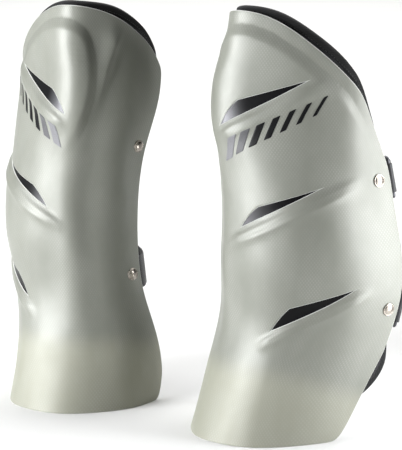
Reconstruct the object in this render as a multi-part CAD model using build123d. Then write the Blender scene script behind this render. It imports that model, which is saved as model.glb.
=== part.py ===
from build123d import *

import math
import os

import numpy as np

# A pair of shin guards for alpine slalom racing.
#
# Each guard is a translucent moulded shell that curves round the front and the outer side of the
# lower leg, a padded black liner held inside it by hook-and-loop patches, three glossy black inlays
# and a striped graphic on its outer side, and two elastic straps round the calf.  A strap is riveted
# under the shell's inner rear edge, passes through a wire ring that a riveted tab holds at the outer
# rear edge, turns back on itself and closes with a hook-and-loop tail.
#
# A guard is modelled in its own plan axes: across = towards the outer side of the leg, back = towards
# the calf, up = Z.  The right guard is the left one mirrored.  Both then stand side by side on their
# bottom rims, with the origin under the middle of the pair.  Millimetres and degrees.

# --- driving dimensions ---------------------------------------------------------------------------
SHELL_T = 2.2
FOOT_TRIM = 3.0              # moulding flash cut off so that the bottom rim is flat
PATCH_GAP = 0.1
HOOK_T = 1.2
LOOP_T = 1.4
LINER_DEPTH = 6.1            # from the shell's outer face to the liner's outer face
FOAM_T = 7.0
LINING_T = 0.8
BINDING_W = 8.0
BINDING_T = 0.6
BINDING_GAP = 0.3
LINER_REACH = 0.004          # how far the liner passes the rear edges, as a share of the way round

STRAP_W = 30.0
STRAP_T = 1.8
STRAP_DEPTH = 3.7            # from the shell's outer face to the strap's middle, where it is riveted
TAIL_LENGTH = 74.0
PULL_TAB_LENGTH = 14.0
PULL_TAB_T = 3.0
TAIL_HOOK_LENGTH = 34.0
TAIL_HOOK_T = 0.9

RING_WIRE = 3.0
RING_INNER_W = 32.0
RING_PITCH = 9.5             # between the ring's two long bars
TURN_R = 3.6                 # strap's middle round the ring's rear bar
TAB_W = 26.0
TAB_T = 1.6
TAB_EYE_R = 3.0
TAB_EYE_BORE = 1.75

RIVET_CAP_R = 6.0
RIVET_CAP_H = 2.0
RIVET_SHANK_R = 2.0
RIVET_HOLE_R = 2.2
WASHER_R = 4.2
WASHER_T = 0.7

# Where the two guards stand: across, back, turn about Z.  The right guard is mirrored first.
LEFT_PLACE = (75.5, 0.0, -56.5)
RIGHT_PLACE = (-114.0, 122.0, -19.2)
PAIR_CENTRE = (-3.2, 73.0)

# --- the moulded surface --------------------------------------------------------------------------
# Eight stations run round the leg, from the inner rear edge (0) over the shin's crest (0.4) to the
# outer rear edge (1), and nine level sections run up it.  Each point is (across, back).
ROUND = (0, 0.14, 0.28, 0.40, 0.54, 0.70, 0.84, 1.0)
SECTIONS = {
    0: ((-82, 0), (-72, -40), (-46, -71), (-12, -88), (26, -81), (53, -56), (67, -12), (66, 30)),
    55: ((-79, -4), (-64, -37), (-41, -55), (-12, -65), (24, -60), (49, -39), (66, -2), (72, 46)),
    110: ((-66, -12), (-52, -33), (-29, -48), (0, -54), (34, -46), (60, -20), (75, 16), (79, 64)),
    150: ((-62, -13), (-49, -35), (-26, -50), (1, -57), (39, -48), (69, -20), (82, 16), (83, 67)),
    195: ((-63, -14), (-48, -35), (-24, -50), (3, -57), (37, -47), (68, -19), (79, 16), (79, 62)),
    240: ((-67, -6), (-53, -33), (-30, -50), (-4, -58), (30, -47), (61, -17), (75, 16), (76, 54)),
    290: ((-77, 6), (-60, -29), (-38, -48), (-13, -59), (18, -44), (49, -15), (67, 15), (71, 46)),
    340: ((-76, 14), (-60, -20), (-37, -41), (-13, -53), (18, -39), (49, -11), (68, 18), (70, 46)),
    385: ((-73, 22), (-58, -12), (-36, -34), (-13, -46), (15, -33), (45, -7), (63, 20), (66, 46)),
}
TOP_EDGE = (326, 354, 370, 375, 371, 348, 319, 290)
LINER_RISE = (6, 11, 7, 4, 6, 10, 10, 6)
LINER_LOW = (50, 57, 60, 60, 60, 57, 46, 30)


def spline_weights(knots, values):
    """Weights of the natural cubic spline through knots, one row for each value."""
    knots = np.asarray(knots, float)
    values = np.asarray(values, float).ravel()
    gap = np.diff(knots)
    count = len(knots)
    left = np.eye(count)
    right = np.zeros((count, count))
    for i in range(1, count - 1):
        left[i, i - 1:i + 2] = gap[i - 1], 2 * (gap[i - 1] + gap[i]), gap[i]
        right[i, i - 1:i + 2] = 6 / gap[i - 1], -6 / gap[i - 1] - 6 / gap[i], 6 / gap[i]
    bend = np.linalg.solve(left, right)
    unit = np.eye(count)
    i = np.clip(np.searchsorted(knots, values) - 1, 0, count - 2)
    a = (knots[i + 1] - values)[:, None]
    b = (values - knots[i])[:, None]
    w = gap[i][:, None]
    return (bend[i] * (a ** 3 / w - w * a) + bend[i + 1] * (b ** 3 / w - w * b)) / 6 \
        + (unit[i] * a + unit[i + 1] * b) / w


LEVELS = sorted(SECTIONS)
NET = np.array([SECTIONS[level] for level in LEVELS], float)


def plan(s, z):
    """(across, back) of the outer face at s round the leg and height z."""
    s = np.asarray(s, float)
    z = np.asarray(z, float)
    xy = np.einsum("mi,mj,ijk->mk", spline_weights(LEVELS, z), spline_weights(ROUND, s), NET)
    return xy.reshape(s.shape + (2,))


def surface(s, z, depth):
    """Points at a depth under the outer face, at the same height as the outer face's point."""
    s = np.asarray(s, float)
    z = np.asarray(z, float)
    xy = plan(s, z)
    along = (plan(s + 0.002, z) - plan(s - 0.002, z)) / 0.004
    rise = (plan(s, z + 1) - plan(s, z - 1)) / 2
    inward = np.stack([-along[..., 1], along[..., 0]], -1)
    inward /= np.linalg.norm(inward, axis=-1, keepdims=True)
    lean = (rise * inward).sum(-1)
    xy = xy + inward * (depth * np.sqrt(1 + lean ** 2))[..., None]
    return np.concatenate([xy, z[..., None]], -1)


def point(s, z, depth=0.0):
    return Vector(*surface(np.array([s]), np.array([z]), np.array(depth))[0])


def along_round(values, s):
    s = np.asarray(s, float)
    return (spline_weights(ROUND, s) @ np.array(values, float)).reshape(s.shape)


def past(s, start, end):
    """0 up to start, then rising ever faster to 1 at end: the rounding of a rear corner."""
    return np.clip((s - start) / (end - start), 0, 1.2) ** 4


def shell_top(s):
    return along_round(TOP_EDGE, s) - 12 * past(s, 0.12, 0) - 50 * past(s, 0.84, 1)


def shell_low(s):
    """Moulded a little below the foot plane, which then trims it flat."""
    return FOOT_TRIM * -1 + 28 * past(s, 0.08, 0) + 78 * past(s, 0.82, 1)


def liner_top(s):
    return shell_top(s) + along_round(LINER_RISE, s)


def liner_low(s):
    return along_round(LINER_LOW, s) + 10 * past(s, 0.06, 0) + 12 * past(s, 0.94, 1)


# --- solids from point grids ----------------------------------------------------------------------
def overhang(s, z):
    """How much farther round the liner reaches where it shows past the shell's outer rear edge."""
    foot = 0.036 * np.exp(-((z - 60) / 24) ** 2)
    calf = 0.010 * np.exp(-((z - 172) / 22) ** 2)
    knee = 0.016 / (1 + np.exp(-(z - 276) / 9))
    return past(s, 0.70, 1) * (foot + calf + knee)


def slab(front, rear):
    """The closed solid between two point grids of the same layout."""
    skins = []
    for grid in (front, rear):
        rows = [[tuple(p) for p in row] for row in grid]
        skins.append(Face.make_surface_from_array_of_points(rows, tol=0.02, min_deg=3, max_deg=3))
    rims = zip(skins[0].edges(), skins[1].edges())
    sides = [Face.make_surface_from_curves(edge, partner) for edge, partner in rims]
    return Solid(Shell(Face.sew_faces(skins + sides)[0]))


def layer(span, low, high, depths, cols=31, rows=21, spread=None):
    """A layer of the guard: s over span, height from low(s) to high(s), between two depths."""
    s = np.linspace(*span, cols)[:, None] * np.ones((1, rows))
    t = np.ones((cols, 1)) * np.linspace(0, 1, rows)[None]
    z = low(s) + (high(s) - low(s)) * t
    if spread:
        s = s + spread(s, z)
    return slab(*[surface(s, z, np.full(s.shape, float(d))) for d in depths])


def patch(span, z_span, depths):
    return layer(span, lambda s: z_span[0] + 0 * s, lambda s: z_span[1] + 0 * s, depths, 9, 7)


def outward(s, z):
    """Unit normal of the outer face, pointing away from the leg."""
    e, h = 0.004, 1.0
    a = point(s + e, z) - point(s - e, z)
    b = point(s, z + h) - point(s, z - h)
    n = a.cross(b).normalized()
    return n if n.dot(point(s, z) - point(s, z, 5.0)) > 0 else n * -1


# --- slots and their inlays -----------------------------------------------------------------------
# Each slot: wide tip, kink and thin tip as (s, z), then how far the lower and rear edges bow, mm.
SLOTS = {
    "upper": ((0.400, 276), (0.475, 300), (0.715, 319), -1.5, 1.6),
    "middle": ((0.430, 188), (0.510, 209), (0.742, 228), -0.3, 1.6),
    "lower": ((0.570, 99), (0.625, 121.5), (0.850, 138), -1.8, 1.6),
}
INLAY_DEPTHS = (0.3, 1.9)
INLAY_SHRINK = 0.965
CUT_REACH = 16.0


def bowed(a, b, bow, plane_normal, count=5):
    """Points from a towards b along a shallow arc, a included and b left out."""
    side = (b - a).cross(plane_normal).normalized()
    return [a + (b - a) * (i / count) + side * (4 * bow * (i / count) * (1 - i / count)) for i in range(count)]


def slot_prism(name, shrink=1.0):
    wide, kink, thin, low_bow, rear_bow = SLOTS[name]
    a, b, c = (point(*p) for p in (wide, kink, thin))
    normal = (c - a).cross(b - a).normalized()
    middle = (a + b + c) / 3
    if normal.dot(outward(0.5 * (wide[0] + thin[0]), 0.5 * (wide[1] + thin[1]))) < 0:
        normal = normal * -1
    ring = bowed(a, b, -rear_bow, normal) + bowed(b, c, 0.0, normal, 2) + bowed(c, a, low_bow, normal)
    ring = [middle + (p - middle) * shrink for p in ring]
    outline = Face(Wire.make_polygon(ring, close=True))
    return Solid.extrude(outline.moved(Location(normal * -CUT_REACH)), normal * (2 * CUT_REACH))


# --- rivets ---------------------------------------------------------------------------------------
RIVETS = {
    "outer_upper": (0.948, 230.0),
    "outer_lower": (0.966, 115.0),
    "inner_upper": (0.045, 244.0),
    "inner_lower": (0.052, 123.0),
}
WASHER_DEPTH = STRAP_DEPTH + 0.5 * STRAP_T + 0.25


def rivet_plane(name):
    s, z = RIVETS[name]
    return Plane(origin=point(s, z), z_dir=outward(s, z))


def rivet(name):
    """Domed cap on the shell, with a shank that ends in a rolled tail under the washer."""
    tail = -(WASHER_DEPTH + WASHER_T + 0.15)
    rise = RIVET_CAP_H - 0.6
    dome_r = (RIVET_CAP_R ** 2 + rise ** 2) / (2 * rise)
    half_angle = 0.5 * math.asin(RIVET_CAP_R / dome_r)
    middle_x = dome_r * math.sin(half_angle)
    middle_z = RIVET_CAP_H - dome_r * (1 - math.cos(half_angle))
    with BuildSketch(Plane.XZ) as half:
        with BuildLine():
            Polyline((0, tail), (RIVET_SHANK_R, tail), (RIVET_SHANK_R, 0.1),
                     (RIVET_CAP_R, 0.1), (RIVET_CAP_R, 0.6))
            ThreePointArc((RIVET_CAP_R, 0.6), (middle_x, middle_z), (0, RIVET_CAP_H))
            Line((0, RIVET_CAP_H), (0, tail))
        make_face()
    return rivet_plane(name).location * revolve(half.sketch, Axis.Z).solid()


def rivet_hole(name):
    cylinder = Cylinder(RIVET_HOLE_R, 30, align=(Align.CENTER, Align.CENTER, Align.CENTER))
    return rivet_plane(name).location * cylinder


def washer(name):
    disc = Cylinder(WASHER_R, WASHER_T) - Cylinder(RIVET_SHANK_R + 0.05, 2 * WASHER_T)
    return rivet_plane(name).location * Location((0, 0, -(WASHER_DEPTH + 0.5 * WASHER_T))) * disc.solid()


# --- straps, rings and tabs -----------------------------------------------------------------------
RING_TURN = 62.0             # the ring's plane leans in towards the calf by this much
TAB_REACH = 4.2              # from the shell's rear edge to the ring's front bar
TAB_LIFT = 0.6               # the bar stands this far outside the strip's own line
STRAP_CURVE_R = 92.0         # strap round the outer side of the calf
CLOSING = {                  # heights of the two ends of each strap, then plan points round the calf
    "upper": (230.0, 244.0, ((-36, 55), (-47, 38), (-55, 22), (-60, 8))),
    "lower": (115.0, 123.0, ((-32, 66), (-44, 46), (-53, 27), (-59, 9))),
}
STRAP_GAP = 1.3              # between the strap and its closed tail


class RingFrame:
    """Axes at a ring's front bar: along leads to the rear bar, out leaves the leg, up is the bar."""

    def __init__(self, level):
        z = CLOSING[level][0]
        edge = point(1.0, z, STRAP_DEPTH)
        self.up = (point(1.0, z + 15, STRAP_DEPTH) - point(1.0, z - 15, STRAP_DEPTH)).normalized()
        out = outward(0.995, z)
        out = (out - self.up * out.dot(self.up)).normalized()
        self.tangent = out.cross(self.up).normalized()
        if self.tangent.dot(edge - point(0.95, z, STRAP_DEPTH)) < 0:
            self.tangent = self.tangent * -1
        self.bar = edge + self.tangent * TAB_REACH + out * TAB_LIFT
        lean = math.radians(RING_TURN)
        self.along = self.tangent * math.cos(lean) - out * math.sin(lean)
        self.out = self.tangent * math.sin(lean) + out * math.cos(lean)
        self.rear_bar = self.bar + self.along * RING_PITCH

    def at(self, along, out, up=0.0):
        """A point measured from the rear bar."""
        return self.rear_bar + self.along * along + self.out * out + self.up * up

    def plane(self, origin):
        return Plane(origin=origin, x_dir=self.along, z_dir=self.up)


def ribbon(centres, ups, width, thickness, lift=0.0):
    """A band through centre points; lift moves it towards the side that faces away from the leg."""
    centres = np.array([tuple(c) for c in centres])
    ups = np.array([tuple(u) for u in ups])
    run = np.gradient(centres, axis=0)
    face_dir = np.cross(run, ups)
    face_dir /= np.linalg.norm(face_dir, axis=1, keepdims=True)
    across = np.linspace(-0.5 * width, 0.5 * width, 4)
    grids = []
    for side in (lift + 0.5 * thickness, lift - 0.5 * thickness):
        grids.append([[c + side * f + w * u for w in across] for c, f, u in zip(centres, face_dir, ups)])
    return slab(*grids)


def smooth(points, count):
    """Evenly spaced points on the natural spline through the given points."""
    points = np.array([tuple(p) for p in points], float)
    reach = np.concatenate([[0], np.cumsum(np.linalg.norm(np.diff(points, axis=0), axis=1))])
    return spline_weights(reach, np.linspace(0, reach[-1], count)) @ points


def strap_arc(frame, distance, lift=0.0):
    """The strap's middle at a distance from the rear bar, on its way round the outer calf."""
    turn = distance / STRAP_CURVE_R
    radius = STRAP_CURVE_R + lift
    return frame.at(radius * math.sin(turn), -TURN_R - STRAP_CURVE_R + radius * math.cos(turn))


def strap(level):
    """Under the shell's inner edge, round the calf, through the ring and round its rear bar."""
    frame = RingFrame(level)
    ring_z, inner_z, bends = CLOSING[level]
    route = [strap_arc(frame, d) for d in np.arange(0, TAIL_LENGTH + PULL_TAB_LENGTH + 5, 8.0)]
    count = len(bends) + 1
    for i, (x, y) in enumerate(bends):
        route.append(Vector(x, y, ring_z + (inner_z - ring_z) * (0.45 + 0.5 * (i + 1) / count)))
    route += [point(s, inner_z, STRAP_DEPTH) for s in (0.0, 0.03, 0.06, 0.09)]
    centres = smooth(route, 90)
    first = np.array(tuple(frame.up))
    last = np.array(tuple((point(0.0, inner_z + 15) - point(0.0, inner_z - 15)).normalized()))
    share = np.clip((np.linspace(0, 1, len(centres)) - 0.46) / 0.45, 0, 1)[:, None]
    share = share * share * (3 - 2 * share)
    ups = first * (1 - share) + last * share
    ups /= np.linalg.norm(ups, axis=1, keepdims=True)
    band = ribbon(centres, ups, STRAP_W, STRAP_T)
    with BuildSketch() as half_ring:
        Circle(TURN_R + 0.5 * STRAP_T)
        Circle(TURN_R - 0.5 * STRAP_T, mode=Mode.SUBTRACT)
        with Locations((TURN_R + 0.03, 0)):
            Rectangle(2 * TURN_R, 4 * TURN_R, mode=Mode.SUBTRACT)
    turn = extrude(half_ring.sketch, 0.5 * STRAP_W, both=True)
    hole = Plane(origin=point(*RIVETS["inner_" + level]), z_dir=outward(*RIVETS["inner_" + level])).location
    band = band - hole * Cylinder(RIVET_HOLE_R, 30)
    return [band.solid(), frame.plane(frame.rear_bar).location * turn.solid()]


def tail_path(frame, start, end, count, lift=0.0):
    """Middle of the folded-back tail, which closes onto the strap beyond the ring."""
    centres = []
    for d in np.linspace(start, end, count):
        closing = min(1.0, d / 22.0)
        ease = closing * closing * (3 - 2 * closing)
        apart = 2 * TURN_R * (1 - ease) + (STRAP_T + STRAP_GAP) * ease
        centres.append(strap_arc(frame, d, apart + lift))
    return centres


def strap_tail(level):
    frame = RingFrame(level)
    centres = tail_path(frame, 0.4, TAIL_LENGTH, 30)
    return ribbon(centres, [frame.up] * len(centres), STRAP_W, STRAP_T)


def tail_hook(level):
    frame = RingFrame(level)
    lift = -0.5 * (STRAP_T + TAIL_HOOK_T) - 0.1
    centres = tail_path(frame, TAIL_LENGTH - TAIL_HOOK_LENGTH, TAIL_LENGTH - 1, 12, lift)
    return ribbon(centres, [frame.up] * len(centres), STRAP_W - 3, TAIL_HOOK_T)


def pull_tab(level):
    frame = RingFrame(level)
    centres = tail_path(frame, TAIL_LENGTH + 0.1, TAIL_LENGTH + PULL_TAB_LENGTH, 8, 0.25)
    return ribbon(centres, [frame.up] * len(centres), STRAP_W - 1, PULL_TAB_T)


def ring(level):
    """Closed loop of round wire with rounded corners."""
    frame = RingFrame(level)
    width = RING_INNER_W + RING_WIRE
    corners = Plane(origin=frame.bar, x_dir=frame.along, z_dir=frame.out * -1)
    with BuildSketch(corners) as outline:
        with Locations((0.5 * RING_PITCH, 0)):
            RectangleRounded(RING_PITCH, width, 3.0)
    wire = outline.sketch.faces()[0].outer_wire()
    start = wire.position_at(0)
    with BuildSketch(Plane(origin=start, z_dir=wire.tangent_at(0))) as section:
        Circle(0.5 * RING_WIRE)
    return sweep(section.sketch, path=wire).solid()


def ring_tab(level):
    """Riveted strip under the shell that ends in an eye round the ring's front bar."""
    frame = RingFrame(level)
    s_rivet, z = RIVETS["outer_" + level]
    start = s_rivet - 0.045
    route = [point(s, z, STRAP_DEPTH) for s in np.linspace(start, 1.0, 6)]
    route.append(frame.bar - frame.tangent * (0.5 * (TAB_EYE_R + TAB_EYE_BORE)))
    centres = smooth(route, 24)
    strip = ribbon(centres, [frame.up] * len(centres), TAB_W, TAB_T)
    eye = frame.plane(frame.bar).location * (Cylinder(TAB_EYE_R, TAB_W) - Cylinder(TAB_EYE_BORE, 2 * TAB_W))
    hole = rivet_plane("outer_" + level).location * Cylinder(RIVET_HOLE_R, 30)
    bore = frame.plane(frame.bar).location * Cylinder(TAB_EYE_BORE, 2 * TAB_W)
    return (strip - hole - bore + eye).solid()


# --- one guard ------------------------------------------------------------------------------------
HOOK_PATCHES = (((0.16, 0.30), (286, 330)), ((0.46, 0.62), (248, 290)), ((0.14, 0.32), (160, 205)),
                ((0.52, 0.68), (150, 178)), ((0.30, 0.50), (72, 112)))
STRIPE_COUNT = 7
STRIPE_FROM = (0.435, 258.0)
STRIPE_TO = (0.745, 296.0)
STRIPE_HALF_HEIGHT = 8.2
STRIPE_LEAN = 0.018          # each bar's top is this far round from its foot


def stripe_bars():
    """Slanted bars under the upper slot, narrower towards the outer side."""
    bars = []
    for i in range(STRIPE_COUNT):
        share = i / (STRIPE_COUNT - 1)
        s = STRIPE_FROM[0] + (STRIPE_TO[0] - STRIPE_FROM[0]) * share
        z = STRIPE_FROM[1] + (STRIPE_TO[1] - STRIPE_FROM[1]) * share
        half = 0.0180 * (1 - 0.62 * share)
        height = STRIPE_HALF_HEIGHT * (1 - 0.25 * share)
        rows = []
        for t in np.linspace(-1, 1, 5):
            rows.append([(s + STRIPE_LEAN * t + half * k, z + height * t) for k in np.linspace(-1, 1, 5)])
        rows = np.array(rows)
        s_grid, z_grid = rows[..., 0], rows[..., 1]
        z_grid = z_grid + (s_grid - s) * (STRIPE_TO[1] - STRIPE_FROM[1]) / (STRIPE_TO[0] - STRIPE_FROM[0])
        bars.append(slab(surface(s_grid, z_grid, -0.35), surface(s_grid, z_grid, -0.1)))
    return bars


def liner_binding():
    """Tape on the liner's outer face along its top and bottom edges."""
    rim = (-LINER_REACH, 1 + LINER_REACH)
    depths = (LINER_DEPTH - BINDING_GAP - BINDING_T, LINER_DEPTH - BINDING_GAP)
    along_top = layer(rim, lambda s: liner_top(s) - BINDING_W, liner_top, depths, 31, 4, overhang)
    along_foot = layer(rim, liner_low, lambda s: liner_low(s) + BINDING_W, depths, 31, 4, overhang)
    return [along_top, along_foot]


def guard():
    """Every piece of the left guard, in its own plan axes."""
    pieces = {}
    shell = layer((0, 1), shell_low, shell_top, (0, SHELL_T), 41, 31)
    above_floor = Box(400, 400, 500, align=(Align.CENTER, Align.CENTER, Align.MIN))
    shell = shell & above_floor
    for name in SLOTS:
        shell = shell - slot_prism(name)
        blank = layer((0.36, 0.9), lambda s: SLOTS[name][0][1] - 14 + 0 * s,
                      lambda s: SLOTS[name][2][1] + 12 + 0 * s, INLAY_DEPTHS, 25, 9)
        pieces["slot_inlay_" + name] = (blank & slot_prism(name, INLAY_SHRINK)).solid()
    for name in RIVETS:
        shell = shell - rivet_hole(name)
        pieces["rivet_" + name] = rivet(name)
    pieces["shell"] = shell.solid()
    pieces["stripe_graphic"] = stripe_bars()
    hook_from = SHELL_T + PATCH_GAP
    loop_from = hook_from + HOOK_T + PATCH_GAP
    hooks, loops = [], []
    for span, heights in HOOK_PATCHES:
        hooks.append(patch(span, heights, (hook_from, hook_from + HOOK_T)))
        loops.append(patch(span, heights, (loop_from, loop_from + LOOP_T)))
    pieces["hook_patches"] = hooks
    pieces["loop_patches"] = loops
    rim = (-LINER_REACH, 1 + LINER_REACH)
    lining_from = LINER_DEPTH + FOAM_T + PATCH_GAP
    pieces["liner_foam"] = layer(rim, liner_low, liner_top, (LINER_DEPTH, LINER_DEPTH + FOAM_T),
                                 rows=31, spread=overhang)
    pieces["liner_lining"] = layer(rim, liner_low, liner_top, (lining_from, lining_from + LINING_T),
                                   rows=31, spread=overhang)
    pieces["liner_binding"] = liner_binding()
    pieces["rivet_washers"] = [washer(name) for name in RIVETS]
    for level in CLOSING:
        pieces["ring_tab_" + level] = ring_tab(level)
        pieces["ring_" + level] = ring(level)
        pieces["strap_" + level] = strap(level)
        pieces["strap_tail_" + level] = strap_tail(level)
        pieces["tail_hook_" + level] = tail_hook(level)
        pieces["pull_tab_" + level] = pull_tab(level)
    return pieces


def place(shape, side):
    across, back, turn = LEFT_PLACE if side == "left" else RIGHT_PLACE
    if side == "right":
        shape = mirror(shape, about=Plane.YZ)
    spot = Location((across - PAIR_CENTRE[0], back - PAIR_CENTRE[1], 0), (0, 0, turn))
    return spot * shape


def main():
    os.makedirs("parts", exist_ok=True)
    pieces = guard()
    for side in ("left", "right"):
        for name, shape in pieces.items():
            solids = shape if isinstance(shape, list) else [shape]
            placed = [place(solid, side) for solid in solids]
            body = placed[0] if len(placed) == 1 else Compound(children=placed)
            export_step(body, f"parts/{side}_{name}.step")


main()
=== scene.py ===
import math

import bmesh
import bpy
import numpy as np
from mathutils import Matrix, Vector, kdtree
from mathutils.geometry import delaunay_2d_cdt


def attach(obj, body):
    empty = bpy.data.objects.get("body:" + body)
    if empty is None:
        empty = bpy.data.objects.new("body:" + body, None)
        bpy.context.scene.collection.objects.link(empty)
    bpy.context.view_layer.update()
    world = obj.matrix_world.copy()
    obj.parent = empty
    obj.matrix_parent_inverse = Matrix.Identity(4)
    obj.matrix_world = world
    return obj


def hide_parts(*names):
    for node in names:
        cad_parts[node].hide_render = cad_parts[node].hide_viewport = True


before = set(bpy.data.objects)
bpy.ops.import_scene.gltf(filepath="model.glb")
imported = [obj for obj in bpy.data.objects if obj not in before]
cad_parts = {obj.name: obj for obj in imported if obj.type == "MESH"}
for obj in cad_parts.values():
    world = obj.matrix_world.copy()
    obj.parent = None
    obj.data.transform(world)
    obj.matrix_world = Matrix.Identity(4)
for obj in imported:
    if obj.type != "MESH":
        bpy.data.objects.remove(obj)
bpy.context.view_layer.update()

# A pair of shin guards for alpine slalom racing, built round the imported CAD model.
#
# Every piece is made once, for the left leg, in the guard's own plan axes and in millimetres:
# across = towards the outer side of the leg, back = towards the calf, up = Z.  The right guard's pieces
# are its mirror image.  to_world() turns and places either guard in the frame, in metres.

# --- sizes shared with the CAD ----------------------------------------------------------------------
MM = 0.001
SHELL_T = 2.2
LINER_DEPTH = 6.1
FOAM_T = 7.0
LINING_T = 0.8
LINER_REACH = 0.004
STRAP_W = 30.0
STRAP_T = 1.8
STRAP_DEPTH = 3.7
TAIL_LENGTH = 74.0
PULL_TAB_LENGTH = 14.0
PULL_TAB_T = 3.0
TAIL_HOOK_LENGTH = 34.0
TAIL_HOOK_T = 0.9
RING_PITCH = 9.5
TURN_R = 3.6
RIVET_CAP_R = 6.0
RIVET_DOME = 2.05            # height of the cap's top over the shell
RIVET_SHANK_R = 2.0
WASHER_DEPTH = STRAP_DEPTH + 0.5 * STRAP_T + 0.25
WASHER_T = 0.7
LEFT_PLACE = (75.5, 0.0, -56.5)
RIGHT_PLACE = (-114.0, 122.0, -19.2)
PAIR_CENTRE = (-3.2, 73.0)
LEVEL_NAMES = ("upper", "lower")
SIDES = ("left", "right")

# --- the moulded surface ----------------------------------------------------------------------------
# Eight stations run round the leg, from the inner rear edge (0) over the shin's crest (0.4) to the
# outer rear edge (1), and nine level sections run up it.  Each point is (across, back).
ROUND = (0, 0.14, 0.28, 0.40, 0.54, 0.70, 0.84, 1.0)
SECTIONS = {
    0: ((-82, 0), (-72, -40), (-46, -71), (-12, -88), (26, -81), (53, -56), (67, -12), (66, 30)),
    55: ((-79, -4), (-64, -37), (-41, -55), (-12, -65), (24, -60), (49, -39), (66, -2), (72, 46)),
    110: ((-66, -12), (-52, -33), (-29, -48), (0, -54), (34, -46), (60, -20), (75, 16), (79, 64)),
    150: ((-62, -13), (-49, -35), (-26, -50), (1, -57), (39, -48), (69, -20), (82, 16), (83, 67)),
    195: ((-63, -14), (-48, -35), (-24, -50), (3, -57), (37, -47), (68, -19), (79, 16), (79, 62)),
    240: ((-67, -6), (-53, -33), (-30, -50), (-4, -58), (30, -47), (61, -17), (75, 16), (76, 54)),
    290: ((-77, 6), (-60, -29), (-38, -48), (-13, -59), (18, -44), (49, -15), (67, 15), (71, 46)),
    340: ((-76, 14), (-60, -20), (-37, -41), (-13, -53), (18, -39), (49, -11), (68, 18), (70, 46)),
    385: ((-73, 22), (-58, -12), (-36, -34), (-13, -46), (15, -33), (45, -7), (63, 20), (66, 46)),
}
TOP_EDGE = (326, 354, 370, 375, 371, 348, 319, 290)
LINER_RISE = (18, 13, 7, 4, 6, 10, 10, 6)      # more than the CAD's at the inner corner, which is softened
LINER_LOW = (50, 57, 60, 60, 60, 57, 46, 30)
ROUND_MM = 300.0             # the way round, unrolled: u = s * ROUND_MM, v = height


def spline_weights(knots, values):
    """Weights of the natural cubic spline through knots, one row for each value."""
    knots = np.asarray(knots, float)
    values = np.asarray(values, float).ravel()
    gap = np.diff(knots)
    count = len(knots)
    left = np.eye(count)
    right = np.zeros((count, count))
    for i in range(1, count - 1):
        left[i, i - 1:i + 2] = gap[i - 1], 2 * (gap[i - 1] + gap[i]), gap[i]
        right[i, i - 1:i + 2] = 6 / gap[i - 1], -6 / gap[i - 1] - 6 / gap[i], 6 / gap[i]
    bend = np.linalg.solve(left, right)
    unit = np.eye(count)
    i = np.clip(np.searchsorted(knots, values) - 1, 0, count - 2)
    a = (knots[i + 1] - values)[:, None]
    b = (values - knots[i])[:, None]
    w = gap[i][:, None]
    curved = (bend[i] * (a ** 3 / w - w * a) + bend[i + 1] * (b ** 3 / w - w * b)) / 6
    return curved + (unit[i] * a + unit[i + 1] * b) / w


LEVELS = sorted(SECTIONS)
NET = np.array([SECTIONS[level] for level in LEVELS], float)


def plan(s, z):
    """(across, back) of the plain outer face at s round the leg and height z."""
    s, z = np.asarray(s, float), np.asarray(z, float)
    xy = np.einsum("mi,mj,ijk->mk", spline_weights(LEVELS, z), spline_weights(ROUND, s), NET)
    return xy.reshape(s.shape + (2,))


def surface(s, z, depth=0.0):
    """Points at a depth under the plain outer face, at the same height as the outer face's point."""
    s, z = np.asarray(s, float), np.asarray(z, float)
    xy = plan(s, z)
    along = (plan(s + 0.002, z) - plan(s - 0.002, z)) / 0.004
    rise = (plan(s, z + 1) - plan(s, z - 1)) / 2
    inward = np.stack([-along[..., 1], along[..., 0]], -1)
    inward /= np.linalg.norm(inward, axis=-1, keepdims=True)
    lean = (rise * inward).sum(-1)
    xy = xy + inward * (depth * np.sqrt(1 + lean ** 2))[..., None]
    return np.concatenate([xy, z[..., None]], -1)


def unit(v):
    v = np.asarray(v, float)
    return v / np.linalg.norm(v, axis=-1, keepdims=True)


def outward(s, z):
    """Unit normal of the outer face, pointing away from the leg."""
    n = unit(np.cross(surface(s + 0.004, z) - surface(s - 0.004, z), surface(s, z + 1) - surface(s, z - 1)))
    return n if n @ (surface(s, z) - surface(s, z, 5.0)) > 0 else -n


def along_round(values, s):
    s = np.asarray(s, float)
    return (spline_weights(ROUND, s) @ np.array(values, float)).reshape(s.shape)


def past(s, start, end):
    """0 up to start, then rising ever faster to 1 at end: the rounding of a rear corner."""
    return np.clip((s - start) / (end - start), 0, 1.2) ** 4


def shell_top(s):
    return along_round(TOP_EDGE, s) - 12 * past(s, 0.12, 0) - 50 * past(s, 0.84, 1)


def shell_low(s):
    return np.maximum(-3 + 28 * past(s, 0.08, 0) + 78 * past(s, 0.82, 1), 0.0)


def liner_top(s):
    return shell_top(s) + along_round(LINER_RISE, s)


def liner_low(s):
    return along_round(LINER_LOW, s) + 10 * past(s, 0.06, 0) + 12 * past(s, 0.94, 1)


def overhang(s, z):
    """How much farther round the liner reaches where it shows past the shell's outer rear edge.
    It is a little stronger at the knee than in the CAD."""
    foot = 0.036 * np.exp(-((z - 60) / 24) ** 2)
    calf = 0.010 * np.exp(-((z - 172) / 22) ** 2)
    knee = 0.024 / (1 + np.exp(-(z - 264) / 6))
    return past(s, 0.70, 1) * (foot + calf) + np.clip((s - 0.62) / 0.25, 0, 1) ** 2 * knee


def smoothstep(x):
    x = np.clip(x, 0, 1)
    return x * x * (3 - 2 * x)


def reached(points):
    """How far along a line of points each one lies."""
    return np.concatenate([[0], np.cumsum(np.linalg.norm(np.diff(points, axis=0), axis=1))])


def smooth(points, count):
    """Evenly spaced points on the natural spline through the given points."""
    points = np.array(points, float)
    reach = reached(points)
    return spline_weights(reach, np.linspace(0, reach[-1], count)) @ points


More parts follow.
